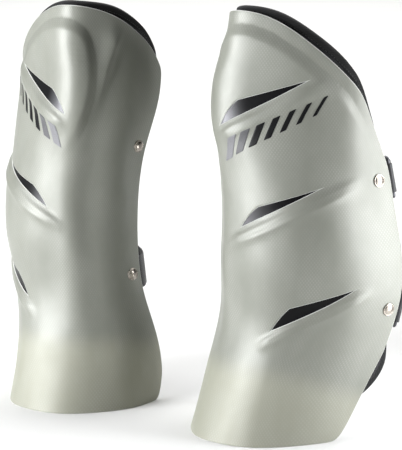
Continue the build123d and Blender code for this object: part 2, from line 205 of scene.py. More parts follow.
# --- moulded relief ---------------------------------------------------------------------------------
# Each ridge: (s, height) points of its crest, height of its lip, reach above it, reach below it, and
# how high the scale-like swelling under it is.
RIDGES = (
    (((0.385, 262), (0.43, 271), (0.50, 280.5), (0.60, 294), (0.70, 308), (0.785, 318)),
     2.8, 4.5, 8.0, 1.2),
    (((0.355, 168), (0.43, 179.5), (0.52, 191), (0.64, 206.5), (0.742, 219), (0.83, 228), (0.90, 232)),
     2.8, 4.5, 7.0, 2.6),
    (((0.52, 84), (0.57, 91), (0.64, 101), (0.74, 115), (0.846, 129), (0.915, 136)),
     2.8, 4.5, 7.0, 2.2),
)
SCALE_REACH = 48.0           # how far down a scale's swelling dies away
SHIN_EDGE = ((0.352, 40), (0.348, 120), (0.346, 200), (0.352, 280), (0.362, 350))
SHIN_HEIGHT = 3.0
SHIN_REACH = 17.0
FOLD = ((0.178, 358), (0.212, 343), (0.238, 329), (0.262, 312), (0.284, 293), (0.305, 270))
FOLD_HEIGHT = 4.2
FOLD_REACH = (15.0, 6.5)     # towards the crest and towards the inner edge
PANEL_EDGE = ((0.46, 150), (0.402, 212), (0.328, 262), (0.302, 296), (0.302, 326), (0.328, 350),
              (0.400, 362), (0.52, 361), (0.62, 349), (0.74, 327), (0.85, 303), (0.95, 268), (1.04, 220))
PANEL_HEIGHT = 3.2
PANEL_SLOPE = 13.0           # width of the slope at the raised panel's edge


def flat(points):
    """(s, height) points as (u, v) in millimetres on the unrolled surface."""
    return np.array(points, float) * (ROUND_MM, 1.0)


def beside(curve, u, v):
    """Signed distance from a curve's points, positive on its left, and the share of the way along it."""
    crest = smooth(flat(curve), 160)
    run = unit(np.gradient(crest, axis=0))
    distance, share = np.empty(len(u)), np.empty(len(u))
    for start in range(0, len(u), 20000):
        part = slice(start, start + 20000)
        du = u[part, None] - crest[None, :, 0]
        dv = v[part, None] - crest[None, :, 1]
        near = np.argmin(du * du + dv * dv, axis=1)
        row = np.arange(len(near))
        du, dv = du[row, near], dv[row, near]
        left = run[near, 0] * dv - run[near, 1] * du
        distance[part] = np.sign(left) * np.hypot(du, dv)
        share[part] = near / (len(crest) - 1)
    return distance, share


def faded_ends(share, first, last):
    """0 at both ends of a curve, 1 beyond the first share of it and before the last."""
    return smoothstep(share / first) * smoothstep((1 - share) / last)


def rib(distance, height, left_reach, right_reach):
    """A rounded rib's height at a signed distance from its crest."""
    return height * np.exp(-(distance / np.where(distance > 0, left_reach, right_reach)) ** 2)


def relief(s, z):
    """How far the moulded face stands out from the plain one, in millimetres."""
    s = np.asarray(s, float)
    shape = s.shape
    u = s.ravel() * ROUND_MM
    v = np.asarray(z, float).ravel()
    raised = np.zeros(len(u))
    for crest, lip, above, below, swell in RIDGES:
        distance, share = beside(crest, u, v)
        raised += faded_ends(share, 0.16, 0.22) * rib(distance, lip, above, below)
        under = np.clip(-distance, 0, None)
        scale = rib(under, swell, SCALE_REACH, SCALE_REACH)
        raised += faded_ends(share, 0.3, 0.3) * smoothstep(under / 6) * scale
    distance, share = beside(SHIN_EDGE, u, v)
    raised += faded_ends(share, 0.25, 0.12) * rib(distance, SHIN_HEIGHT, SHIN_REACH, SHIN_REACH)
    distance, share = beside(FOLD, u, v)
    raised += faded_ends(share, 0.25, 0.5) * rib(distance, FOLD_HEIGHT, *FOLD_REACH)
    distance, share = beside(PANEL_EDGE, u, v)
    inside = smoothstep(-distance / PANEL_SLOPE + 0.2)
    fade_down = smoothstep((v - 225) / 60)
    fade_back = 1 - smoothstep((u / ROUND_MM - 0.80) / 0.18)
    raised += PANEL_HEIGHT * inside * fade_down * fade_back
    return raised.reshape(shape)


# --- slots, rivets and patches, as outlines on the unrolled surface ----------------------------------
# Each slot: wide tip, kink and thin tip as (s, height), how far the lower and rear edges bow, and how
# silvery grey its inlay turns at the wide tip.
SLOTS = {
    "upper": ((0.400, 276), (0.475, 300), (0.715, 319), -1.5, 1.6, 1.0),
    "middle": ((0.430, 188), (0.510, 209), (0.742, 228), -0.3, 1.6, 0.55),
    "lower": ((0.570, 99), (0.625, 121.5), (0.850, 138), -1.8, 1.6, 0.0),
}
RIVETS = {
    "outer_upper": (0.948, 230.0),
    "outer_lower": (0.966, 115.0),
    "inner_upper": (0.045, 244.0),
    "inner_lower": (0.052, 123.0),
}
HOOK_PATCHES = (((0.16, 0.30), (286, 330)), ((0.46, 0.62), (248, 290)), ((0.14, 0.32), (160, 205)),
                ((0.52, 0.68), (150, 178)), ((0.30, 0.50), (72, 112)))
STRIPE_COUNT = 7
STRIPE_FROM = (0.435, 258.0)
STRIPE_TO = (0.745, 296.0)
STRIPE_HALF_WIDTH = 0.018
STRIPE_HALF_HEIGHT = 8.2
STRIPE_LEAN = 0.018


def bowed(a, b, bow, count):
    """Points from a towards b along a shallow arc, a included and b left out."""
    step = np.arange(count) / count
    side = np.array([b[1] - a[1], a[0] - b[0]]) / np.linalg.norm(b - a)
    return a + (b - a) * step[:, None] + side * (4 * bow * step * (1 - step))[:, None]


def slot_outline(name, spacing):
    wide, kink, thin, low_bow, rear_bow, _ = SLOTS[name]
    a, b, c = flat((wide, kink, thin))
    parts = []
    for start, end, bow in ((a, b, -rear_bow), (b, c, 0.0), (c, a, low_bow)):
        count = max(4, int(round(np.linalg.norm(end - start) / spacing)))
        parts.append(bowed(start, end, bow, count))
    return np.concatenate(parts)


def circle_outline(centre, radius, count=28):
    angle = np.linspace(0, 2 * np.pi, count, endpoint=False)
    return flat((centre,))[0] + radius * np.stack([np.cos(angle), np.sin(angle)], 1)


def even_loop(loop, spacing):
    """The closed loop again, with evenly spaced points."""
    closed = np.concatenate([loop, loop[:1]])
    reach = reached(closed)
    count = max(8, int(round(reach[-1] / spacing)))
    at = np.linspace(0, reach[-1], count, endpoint=False)
    return np.stack([np.interp(at, reach, closed[:, k]) for k in (0, 1)], 1)


def softened(loop, radius, spacing):
    """The loop with its corners rounded off by averaging along it."""
    loop = even_loop(loop, spacing)
    span = max(1, int(round(radius / spacing)))
    for _ in range(3):
        total = sum(np.roll(loop, k, axis=0) for k in range(-span, span + 1))
        loop = total / (2 * span + 1)
    return even_loop(loop, spacing)


def edge_loop(first, last, low, high):
    """Outline of the region s from first to last, height from low(s) to high(s)."""
    s = np.linspace(first, last, 400)
    share = np.linspace(0, 1, 150)[1:-1]
    side = np.ones(len(share))
    runs = ((s, low(s)), (last * side, low(last) + (high(last) - low(last)) * share),
            (s[::-1], high(s[::-1])), (first * side, high(first) + (low(first) - high(first)) * share))
    return np.concatenate([flat(np.stack(run, 1)) for run in runs])


def loop_normals(loop):
    """Unit normals of a loop in its own plane, pointing out of it."""
    run = np.roll(loop, -1, axis=0) - np.roll(loop, 1, axis=0)
    normal = np.stack([run[:, 1], -run[:, 0]], 1)
    normal /= np.maximum(np.linalg.norm(normal, axis=1, keepdims=True), 1e-9)
    area = 0.5 * np.sum(loop[:, 0] * np.roll(loop[:, 1], -1) - loop[:, 1] * np.roll(loop[:, 0], -1))
    return normal if area > 0 else -normal


def inset(loop, distance):
    return loop - loop_normals(loop) * distance


# --- mesh building ----------------------------------------------------------------------------------
def quads(a, b):
    """Faces between two closed rows of vertex numbers."""
    return list(zip(a, np.roll(a, -1), np.roll(b, -1), b))


class Part:
    """A mesh in the left guard's plan axes, in millimetres, with named values at its vertices."""

    def __init__(self, verts, faces, **values):
        self.verts = np.asarray(verts, float)
        self.faces = faces
        self.values = values


def join(parts):
    """Several parts as one."""
    verts, faces, count = [], [], 0
    names = set().union(*(part.values for part in parts))
    values = {name: [] for name in names}
    for part in parts:
        verts.append(part.verts)
        faces += [[i + count for i in face] for face in part.faces]
        count += len(part.verts)
        for name in names:
            values[name].append(part.values[name])
    return Part(np.concatenate(verts), faces, **{name: np.concatenate(values[name]) for name in names})


def inside(loop, pts):
    """Which points lie inside a closed loop."""
    found = np.zeros(len(pts), bool)
    a, b = loop, np.roll(loop, -1, axis=0)
    slope = (b[:, 0] - a[:, 0]) / np.where(b[:, 1] == a[:, 1], 1e-12, b[:, 1] - a[:, 1])
    for start in range(0, len(pts), 8000):
        p = pts[start:start + 8000]
        cross = (a[None, :, 1] > p[:, None, 1]) != (b[None, :, 1] > p[:, None, 1])
        reach = a[None, :, 0] + slope[None] * (p[:, None, 1] - a[None, :, 1])
        found[start:start + 8000] = (cross & (p[:, None, 0] < reach)).sum(1) % 2 == 1
    return found


def within(loops, pts):
    """Which points lie inside loops[0] and outside the other loops."""
    return inside(loops[0], pts) & ~np.any([inside(hole, pts) for hole in loops[1:]], axis=0)


def triangulated(loops, pitch):
    """Even triangles that fill loops[0] and leave out the other loops."""
    rims = np.concatenate(loops)
    tree = kdtree.KDTree(len(rims))
    for i, p in enumerate(rims):
        tree.insert((*p, 0.0), i)
    tree.balance()
    low, high = loops[0].min(0), loops[0].max(0)
    us = np.arange(low[0], high[0], pitch)
    vs = np.arange(low[1], high[1], pitch * 0.866)
    grid_u, grid_v = np.meshgrid(us, vs)
    grid_u += (np.arange(len(vs)) % 2)[:, None] * 0.5 * pitch
    pts = np.stack([grid_u.ravel(), grid_v.ravel()], 1)
    pts = pts[within(loops, pts)]
    far = [tree.find((*p, 0.0))[2] > 0.6 * pitch for p in pts]
    pts = np.concatenate([rims, pts[np.array(far, bool)]])
    edges, n = [], 0
    for loop in loops:
        edges += [(n + i, n + (i + 1) % len(loop)) for i in range(len(loop))]
        n += len(loop)
    found = delaunay_2d_cdt([Vector(p) for p in pts], edges, [], 0, 1e-5, False)
    made = np.array([tuple(p) for p in found[0]])
    tris = np.array(found[2])
    assert len(made) == len(pts), "an outline crosses itself"
    return made, tris[within(loops, made[tris].mean(1))]


def moulded_slab(loops, pitch, depths, bulge, rise=relief, rim_steps=4, square=0.7, shape=surface):
    """A plate on the moulded surface between two depths, with rounded rims along all its loops.
    rise(s, z) moves both faces out; depths are numbers or functions of (s, z); shape(s, z, depth)
    gives the points."""
    uv, tris = triangulated(loops, pitch)
    s, z = uv[:, 0] / ROUND_MM, uv[:, 1]
    up = rise(s, z) if rise else np.zeros(len(s))
    near, far = [d(s, z) if callable(d) else np.full(len(s), float(d)) for d in depths]
    front = shape(s, z, near - up)
    rear = shape(s, z, far - up)
    count = len(uv)
    verts = [front, rear]
    rims = [np.zeros(2 * count)]
    where = [uv, uv]
    faces = [tuple(t) for t in tris] + [tuple(t[::-1] + count) for t in tris]
    total, first = 2 * count, 0
    for loop in loops:
        n = len(loop)
        ids = np.arange(first, first + n)
        first += n
        a, b = front[ids], rear[ids]
        run = np.roll(a, -1, axis=0) - np.roll(a, 1, axis=0)
        half = 0.5 * (b - a)
        side = unit(np.cross(run, half))
        past_rim = uv[ids] + 0.5 * loop_normals(loop)
        shift = shape(past_rim[:, 0] / ROUND_MM, past_rim[:, 1], near[ids] - up[ids]) - a
        if loop is not loops[0]:
            shift = -shift
        side *= np.sign((side * shift).sum(1))[:, None]
        rings = [ids]
        for k in range(1, rim_steps + 1):
            angle = math.pi * k / (rim_steps + 1)
            c, d = math.cos(angle), math.sin(angle)
            ring = a + half * (1 - math.copysign(abs(c) ** square, c)) + side * bulge * d ** square
            verts.append(ring)
            rims.append(np.ones(n))
            where.append(uv[ids])
            rings.append(np.arange(total, total + n))
            total += n
        rings.append(ids + count)
        for p, q in zip(rings[:-1], rings[1:]):
            faces += quads(p, q)
    where = np.concatenate(where)
    flow = np.concatenate([where, np.zeros((len(where), 1))], 1)
    return Part(np.concatenate(verts), faces, flow=flow, rim=np.concatenate(rims))


def swept(centres, ups, section):
    """A closed section swept along centre points, with both ends closed. ups is the direction across
    the band, or one for each centre. section holds (across the band, out of its face) points, or gives
    them at a share of the way along."""
    centres = np.asarray(centres, float)
    ups = np.broadcast_to(ups, centres.shape)
    face_dirs = unit(np.cross(np.gradient(centres, axis=0), ups))
    reach = reached(centres)
    verts, flow = [], []
    rows = len(centres)
    for i in range(rows):
        outline = section(i / (rows - 1)) if callable(section) else section
        verts.append(centres[i] + outline[:, :1] * ups[i] + outline[:, 1:] * face_dirs[i])
        flow.append(np.stack([np.full(len(outline), reach[i]), outline[:, 0], outline[:, 1]], 1))
    size = len(verts[0])
    grid = np.arange(rows * size).reshape(rows, size)
    faces = [face for a, b in zip(grid[:-1], grid[1:]) for face in quads(a, b)]
    for row, end in ((0, 0), (rows - 1, 1)):
        base = row * size
        half = size // 2
        for k in range(half - 1):
            a, b = base + k, base + k + 1
            c, d = base + size - 2 - k, base + size - 1 - k
            faces.append((a, b, c, d) if end else (d, c, b, a))
    return Part(np.concatenate(verts), faces, flow=np.concatenate(flow))


def band_section(width, thickness, corner, across=18, ribs=0.0, rib_pitch=2.5):
    """Rounded band section with an even number of points, top from one edge to the other and back."""
    w = np.linspace(-0.5 * width, 0.5 * width, across)
    from_edge = np.clip((0.5 * width - np.abs(w)) / corner, 0, 1)
    top = 0.5 * thickness * (0.25 + 0.75 * np.sqrt(1 - (1 - from_edge) ** 2))
    top = top + ribs * np.cos(2 * np.pi * w / rib_pitch) * (from_edge >= 1)
    return np.concatenate([np.stack([w, top], 1), np.stack([w[::-1], -top], 1)])


def lathe(profile, segments, origin, axis, helper=(0, 0, 1)):
    """A profile of (radius, height) points turned round an axis; its ends lie on the axis or close."""
    axis = unit(axis)
    x_dir = unit(np.cross(helper, axis))
    y_dir = np.cross(axis, x_dir)
    angles = np.linspace(0, 2 * np.pi, segments, endpoint=False)
    spokes = np.cos(angles)[:, None] * x_dir + np.sin(angles)[:, None] * y_dir
    verts, rows = [], []
    for radius, height in profile:
        if radius < 1e-6:
            rows.append([len(verts)])
            verts.append(origin + axis * height)
        else:
            rows.append(list(range(len(verts), len(verts) + segments)))
            verts.extend(origin + axis * height + spokes * radius)
    faces = []
    closed = profile[0][0] > 1e-6
    pairs = list(zip(rows[:-1], rows[1:])) + ([(rows[-1], rows[0])] if closed else [])
    for a, b in pairs:
        for k in range(segments):
            m = (k + 1) % segments
            ring = [a[k % len(a)], a[m % len(a)], b[m % len(b)], b[k % len(b)]]
            faces.append(tuple(dict.fromkeys(ring)))
    return Part(np.array(verts), faces)


def thread(starts, ends, outs, radius):
    """Stitches: a small rounded grain of thread from each start to its end, bowed out of the face."""
    starts, ends, outs = (np.asarray(x, float) for x in (starts, ends, outs))
    run = ends - starts
    side = unit(np.cross(run, outs))
    outs = unit(np.cross(side, run))
    stations = ((0.0, 0.35), (0.12, 0.8), (0.5, 1.0), (0.88, 0.8), (1.0, 0.35))
    angles = np.linspace(0, 2 * np.pi, 6, endpoint=False)
    grains = []
    for share, size in stations:
        bow = radius * (4 * share * (1 - share) - 0.6)
        centre = starts + run * share + outs * bow
        for angle in angles:
            grains.append(centre + (side * math.cos(angle) + outs * math.sin(angle)) * radius * size)
    grains = np.array(grains).transpose(1, 0, 2)
    faces = []
    for rings in np.arange(30 * len(starts)).reshape(-1, len(stations), len(angles)):
        for a, b in zip(rings[:-1], rings[1:]):
            faces += quads(a, b)
        faces += [tuple(rings[0][::-1]), tuple(rings[-1])]
    return Part(grains.reshape(-1, 3), faces)


# --- placing pieces in the frame --------------------------------------------------------------------
def to_world(points, side):
    across, back, turn = LEFT_PLACE if side == "left" else RIGHT_PLACE
    points = np.array(points, float)
    if side == "right":
        points[:, 0] *= -1
    angle = math.radians(turn)
    x = points[:, 0] * math.cos(angle) - points[:, 1] * math.sin(angle) + across - PAIR_CENTRE[0]
    y = points[:, 0] * math.sin(angle) + points[:, 1] * math.cos(angle) + back - PAIR_CENTRE[1]
    return np.stack([x, y, points[:, 2]], 1) * MM


def linked(name, data):
    """A new object with that data, in the scene."""
    made = bpy.data.objects.new(name, data)
    bpy.context.scene.collection.objects.link(made)
    return made


def new_object(name, part, side, material):
    mesh = bpy.data.meshes.new(name)
    verts = to_world(part.verts, side)
    mesh.from_pydata(verts.tolist(), [], [tuple(int(i) for i in face) for face in part.faces])
    for key, value in part.values.items():
        value = np.asarray(value, np.float32)
        vector = value.ndim == 2
        layer = mesh.attributes.new(key, "FLOAT_VECTOR" if vector else "FLOAT", "POINT")
        layer.data.foreach_set("vector" if vector else "value", value.ravel())
    work = bmesh.new()
    work.from_mesh(mesh)
    bmesh.ops.recalc_face_normals(work, faces=work.faces)
    work.to_mesh(mesh)
    work.free()
    mesh.shade_smooth()
    mesh.materials.append(material)
    return linked(name, mesh)


def add(name, part, material, replaces, body="guard"):
    """The piece on both guards: body is the end of the CAD body's name, replaces the CAD nodes' names."""
    made = []
    for side in SIDES:
        piece = new_object(f"{side}_{name}", part, side, material)
        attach(piece, f"{side}_{body}")
        if replaces:
            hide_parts(*[f"{side}_{node}" for node in replaces])
        made.append(piece)
    return made


# --- materials --------------------------------------------------------------------------------------
class Shader:
    """A node material with one Principled shader, built up by small calls."""

    def __init__(self, name, **settings):
        self.material = bpy.data.materials.new(name)
        self.material.use_nodes = True
        self.tree = self.material.node_tree
        self.tree.nodes.clear()
        output = self.tree.nodes.new("ShaderNodeOutputMaterial")
        self.shader = self.tree.nodes.new("ShaderNodeBsdfPrincipled")
        self.tree.links.new(self.shader.outputs[0], output.inputs[0])
        for socket, value in settings.items():
            self.shader.inputs[socket.replace("_", " ")].default_value = value

    def feed(self, socket, source):
        if hasattr(source, "links"):
            self.tree.links.new(source, socket)
        else:
            socket.default_value = source

    def set(self, name, source):
        self.feed(self.shader.inputs[name], source)

    def node(self, kind, output=0, **inputs):
        """A new node's output; its inputs are numbers, vectors or other nodes' outputs."""
        node = self.tree.nodes.new("ShaderNode" + kind)
        for name, source in inputs.items():
            self.feed(node.inputs[name], source)
        return node.outputs[output]

    def attribute(self, name, output="Fac"):
        node = self.tree.nodes.new("ShaderNodeAttribute")
        node.attribute_name = name
        return node.outputs[output]

    def object_space(self):
        return self.node("TexCoord", "Object")

    def mapped(self, vector, scale=(1, 1, 1), turn=0.0):
        return self.node("Mapping", Vector=vector, Scale=scale, Rotation=(0, 0, math.radians(turn)))

    def noise(self, vector, scale, detail=3.0, roughness=0.55):
        return self.node("TexNoise", Vector=vector, Scale=scale, Detail=detail, Roughness=roughness)

    def cells(self, vector, scale):
        return self.node("TexVoronoi", "Distance", Vector=vector, Scale=scale)

    def ribs(self, vector, period, distortion=0.0):
        """Rounded ribs across the vector's x, one every period."""
        node = self.tree.nodes.new("ShaderNodeTexWave")
        node.wave_type = "BANDS"
        node.bands_direction = "X"
        node.wave_profile = "SIN"
        self.feed(node.inputs["Vector"], vector)
        node.inputs["Scale"].default_value = math.pi / (10 * period)
        node.inputs["Distortion"].default_value = distortion
        node.inputs["Detail"].default_value = 1.0
        return node.outputs["Fac"]

    def maths(self, operation, a, b=0.0):
        node = self.tree.nodes.new("ShaderNodeMath")
        node.operation = operation
        self.feed(node.inputs[0], a)
        self.feed(node.inputs[1], b)
        return node.outputs[0]

    def span(self, value, low, high, to_low=0.0, to_high=1.0):
        node = self.tree.nodes.new("ShaderNodeMapRange")
        self.feed(node.inputs[0], value)
        for k, x in enumerate((low, high, to_low, to_high)):
            node.inputs[k + 1].default_value = x
        return node.outputs[0]

    def blend(self, share, a, b):
        """Colour a where share is 0, b where it is 1."""
        node = self.tree.nodes.new("ShaderNodeMix")
        node.data_type = "RGBA"
        self.feed(node.inputs["Factor"], share)
        for name, colour in (("A", a), ("B", b)):
            socket = [i for i in node.inputs if i.name == name and i.type == "RGBA"][0]
            self.feed(socket, colour if hasattr(colour, "links") else (*colour, 1.0))
        return [o for o in node.outputs if o.type == "RGBA"][0]

    def bump(self, height, distance, strength=1.0, **under):
        """distance is the height's full range in metres; Normal may be a bump to lie on."""
        return self.node("Bump", Height=height, Distance=distance, Strength=strength, **under)


def shell_material():
    """Translucent pearl: darker and silvery where the black liner lies behind it, as the shell looks over
    black; paler and warmer at the foot, partly painted light standing in for light that shines through
    where nothing backs the shell.
    """
    m = Shader("pearl_shell", Metallic=0.10, Coat_Weight=0.05, Coat_Roughness=0.30, IOR=1.5)
    flow = m.attribute("flow", "Vector")
    weave = m.maths("MULTIPLY", *(m.ribs(m.mapped(flow, turn=turn), 2.4) for turn in (42, -42)))
    clouds = m.noise(m.mapped(flow, scale=(0.02, 0.012, 1)), 1.0, 4)
    backed = m.blend(m.span(clouds, 0.3, 0.7), (0.179, 0.185, 0.157), (0.208, 0.214, 0.184))
    # The clear tone is partly painted light: the bare foot is paler and warmer as if lit through the shell
    # from inside.
    clear = m.blend(m.span(clouds, 0.3, 0.7), (0.250, 0.252, 0.200), (0.280, 0.282, 0.230))
    body = m.blend(m.attribute("backing"), clear, backed)
    threads = m.maths("MULTIPLY", weave, m.span(clouds, 0.35, 0.65, 0.0, 0.13))
    body = m.blend(threads, body, (0.70, 0.71, 0.68))
    # Painted highlight: the rounded rims and the walls of the slots and rivet holes are blended towards
    # pale, as if their edges caught the light.
    body = m.blend(m.maths("MULTIPLY", m.attribute("rim"), 0.55), body, (0.86, 0.87, 0.84))
    m.set("Base Color", body)
    haze = m.span(m.noise(m.mapped(flow, scale=(0.05, 0.05, 1)), 1.0, 4), 0.3, 0.7, 0.52, 0.60)
    m.set("Roughness", m.maths("SUBTRACT", haze, m.maths("MULTIPLY", m.attribute("backing"), 0.12)))
    fine = m.bump(weave, 0.00006, 0.4)
    waves = m.noise(m.mapped(flow, scale=(0.06, 0.06, 1)), 1.0, 2)
    m.set("Normal", m.bump(waves, 0.0002, 0.2, Normal=fine))
    return m.material


def inlay_material():
    """Gloss black film that turns silvery grey towards the wide tip."""
    m = Shader("gloss_inlay", Specular_IOR_Level=0.18, IOR=1.4)
    flow = m.attribute("flow", "Vector")
    grain = m.noise(m.mapped(flow, scale=(0.9, 0.9, 1)), 1.0, 5)
    tone = m.maths("MULTIPLY", m.attribute("silver"), m.span(grain, 0.25, 0.75, 0.7, 1.0))
    m.set("Base Color", m.blend(tone, (0.003, 0.003, 0.0035), (0.20, 0.20, 0.21)))
    m.set("Metallic", m.maths("MULTIPLY", tone, 0.3))
    m.set("Roughness", m.span(grain, 0.3, 0.7, 0.30, 0.40))
    m.set("Normal", m.bump(grain, 0.00003, 0.3))
    return m.material


def graphic_material():
    m = Shader("satin_print", Specular_IOR_Level=0.25, IOR=1.45)
    flow = m.attribute("flow", "Vector")
    dots = m.cells(m.mapped(flow, scale=(1.4, 1.4, 1)), 1.0)
    tone = m.maths("MULTIPLY", m.attribute("silver"), m.span(dots, 0.0, 0.7, 0.75, 1.0))
    m.set("Base Color", m.blend(tone, (0.004, 0.004, 0.0045), (0.20, 0.20, 0.21)))
    m.set("Roughness", m.span(m.noise(m.mapped(flow, scale=(0.6, 0.6, 1)), 1.0), 0.3, 0.7, 0.32, 0.45))
    m.set("Normal", m.bump(dots, 0.00002, 0.4))
    return m.material


def cloth_material(name, dark, light, thread_mm, sheen, rough=(0.75, 0.92), fuzz=0.0002):
    """Fine woven or knitted fabric in object space, for pieces that have no flow of their own."""
    m = Shader(name, Sheen_Weight=sheen, Sheen_Roughness=0.45, Specular_IOR_Level=0.3)
    space = m.object_space()
    fibres = m.cells(space, 1000 / thread_mm)
    patches = m.noise(space, 28, 4)
    weave = m.noise(space, 900 / thread_mm, 2, 0.7)
    tone = m.maths("MULTIPLY", m.span(patches, 0.3, 0.7, 0.35, 1.0), m.span(fibres, 0.0, 0.6, 0.4, 1.0))
    m.set("Base Color", m.blend(tone, dark, light))
    m.set("Roughness", m.span(weave, 0.3, 0.7, *rough))
    m.set("Normal", m.bump(fibres, fuzz, 0.7, Normal=m.bump(patches, 0.0006, 0.2)))
    return m.material


def webbing_material(name, dark, light, across_mm=1.1, along_mm=1.6, sheen=0.25):
    """Woven band: ribs along the band crossed by the weft, with darker gaps between."""
    m = Shader(name, Sheen_Weight=sheen, Sheen_Roughness=0.4, Specular_IOR_Level=0.35)
    flow = m.attribute("flow", "Vector")
    warp = m.ribs(m.mapped(flow, turn=90), across_mm)
    weft = m.ribs(flow, along_mm, 0.6)
    twill = m.ribs(m.mapped(flow, turn=58), 1.9)
    height = m.maths("ADD", m.maths("MULTIPLY", warp, weft), m.maths("MULTIPLY", twill, 0.35))
    wear = m.noise(m.mapped(flow, scale=(0.08, 0.08, 1)), 1.0, 4)
    tone = m.maths("MULTIPLY", m.span(height, 0.1, 1.2), m.span(wear, 0.3, 0.75, 0.5, 1.0))
    m.set("Base Color", m.blend(tone, dark, light))
    m.set("Roughness", m.span(height, 0.0, 1.2, 0.88, 0.62))
    m.set("Normal", m.bump(height, 0.00022, 0.8))
    return m.material


def tape_material(name, dark, light, pitch_mm, height=0.0005):
    """Hook or loop pile."""
    m = Shader(name, Sheen_Weight=0.2, Sheen_Roughness=0.5, Specular_IOR_Level=0.3)
    flow = m.mapped(m.attribute("flow", "Vector"), scale=(1 / pitch_mm,) * 3)
    pile = m.cells(flow, 1.0)
    matted = m.noise(flow, 0.12, 4)
    tone = m.maths("MULTIPLY", m.span(pile, 0.6, 0.0), m.span(matted, 0.3, 0.7, 0.4, 1.0))
    m.set("Base Color", m.blend(tone, dark, light))
    m.set("Roughness", m.span(pile, 0.0, 0.7, 0.7, 0.95))
    m.set("Normal", m.bump(m.maths("SUBTRACT", 1.0, pile), height, 0.8))
    return m.material


def metal_material(name, dark, light, rough, scratch=0.00002):
    """Plated metal with fine turning scratches and duller patches."""
    m = Shader(name, Metallic=1.0)
    space = m.object_space()
    haze = m.noise(space, 180, 4)
    scratches = m.noise(m.mapped(space, scale=(900, 900, 5000)), 1.0, 2)
    m.set("Base Color", m.blend(m.span(haze, 0.3, 0.7), dark, light))
    worn = m.span(scratches, 0.3, 0.8, 0.0, 0.08)
    m.set("Roughness", m.maths("ADD", m.span(haze, 0.3, 0.7, *rough), worn))
    m.set("Normal", m.bump(scratches, scratch, 0.3))
    return m.material


def moulded_material(name, dark, light, grain_mm, rough, height=0.00006):
    """Moulded plastic or rubber with a fine grain."""
    m = Shader(name, IOR=1.5, Specular_IOR_Level=0.4)
    space = m.object_space()
    grain = m.cells(space, 1000 / grain_mm)
    haze = m.noise(space, 60, 4)
    m.set("Base Color", m.blend(m.span(haze, 0.3, 0.7), dark, light))
    m.set("Roughness", m.span(haze, 0.3, 0.7, *rough))
    m.set("Normal", m.bump(grain, height, 0.5))
    return m.material


def floor_material():
    """Pale matt studio paper."""
    m = Shader("studio_paper", Roughness=0.9, Specular_IOR_Level=0.1)
    space = m.object_space()
    fibre = m.noise(space, 400, 3)
    tone = m.noise(space, 3, 3)
    m.set("Base Color", m.blend(m.span(tone, 0.3, 0.7), (0.72, 0.72, 0.71), (0.75, 0.75, 0.74)))
    m.set("Normal", m.bump(fibre, 0.00005, 0.2))
    return m.material


PEARL = shell_material()
INLAY = inlay_material()
GRAPHIC = graphic_material()
LINER = cloth_material("liner_nylon", (0.004, 0.004, 0.005), (0.022, 0.022, 0.024), 0.55, 0.15)
LINING = cloth_material("lining_knit", (0.010, 0.010, 0.012), (0.050, 0.050, 0.055), 0.9, 0.35, fuzz=0.0004)
BINDING = webbing_material("binding_tape", (0.002, 0.002, 0.002), (0.010, 0.010, 0.011), 0.7, 0.9, 0.03)
THREAD = webbing_material("sewing_thread", (0.010, 0.010, 0.011), (0.060, 0.060, 0.064), 0.3, 0.4)
WEBBING = webbing_material("elastic_webbing", (0.006, 0.006, 0.007), (0.035, 0.035, 0.040))
HOOK_TAPE = tape_material("hook_tape", (0.008, 0.008, 0.008), (0.045, 0.045, 0.047), 1.1)
LOOP_TAPE = tape_material("loop_tape", (0.008, 0.008, 0.009), (0.050, 0.050, 0.055), 0.7)
NICKEL = metal_material("rivet_nickel", (0.24, 0.215, 0.185), (0.42, 0.385, 0.34), (0.16, 0.28))
BLACK_STEEL = metal_material("black_steel", (0.05, 0.05, 0.055), (0.14, 0.14, 0.15), (0.28, 0.42))
NYLON = moulded_material("tab_nylon", (0.012, 0.012, 0.013), (0.030, 0.030, 0.032), 0.8, (0.42, 0.58))
RUBBER = moulded_material("pull_rubber", (0.012, 0.012, 0.012), (0.032, 0.032, 0.033), 1.2, (0.55, 0.75),
                          height=0.0002)


# --- shell, inlays and graphic ----------------------------------------------------------------------
SHELL_PITCH = 1.6
RIM_ROUND = 0.7
INLAY_SHRINK = 0.965
INLAY_DEPTHS = (0.45, 1.75)
STRIPE_DEPTHS = (-0.28, -0.03)
HOOK_TAPE_DEPTHS = (2.35, 3.45)
LOOP_TAPE_DEPTHS = (3.6, 4.95)
BACKING_FADE = 24.0          # how far the liner's dark backing takes to fade out at the foot, giving way to the painted light through the bare shell


def shell_part():
    outline = edge_loop(0, 1, lambda s: shell_low(s) + RIM_ROUND, shell_top)
    outline = softened(outline, 2.5, 1.4)
    outline[:, 1] = np.maximum(outline[:, 1], RIM_ROUND)
    loops = [outline]
    loops += [even_loop(slot_outline(name, 1.1), 1.1) for name in SLOTS]
    loops += [circle_outline(RIVETS[name], RIVET_SHANK_R + 0.9, 20) for name in RIVETS]
    part = moulded_slab(loops, SHELL_PITCH, (0.0, SHELL_T), RIM_ROUND)
    s = part.values["flow"][:, 0] / ROUND_MM
    z = part.values["flow"][:, 1]
    behind = z - liner_low(np.clip(s, 0, 1))
    # backing is 1 over the liner and 0 at the bare foot, where the shell material paints light shining
    # through.
    part.values["backing"] = smoothstep(behind / BACKING_FADE + 0.35)
    return part


def inlay_part(name):
    outline = even_loop(slot_outline(name, 0.8), 0.8)
    outline = outline.mean(0) + (outline - outline.mean(0)) * INLAY_SHRINK
    part = moulded_slab([outline], 1.2, INLAY_DEPTHS, 0.2)
    wide = flat((SLOTS[name][0],))[0]
    thin = flat((SLOTS[name][2],))[0]
    along = unit(thin - wide)
    share = ((part.values["flow"][:, :2] - wide) @ along) / np.linalg.norm(thin - wide)
    part.values["silver"] = SLOTS[name][5] * (1 - smoothstep(share / 0.36))
    return part


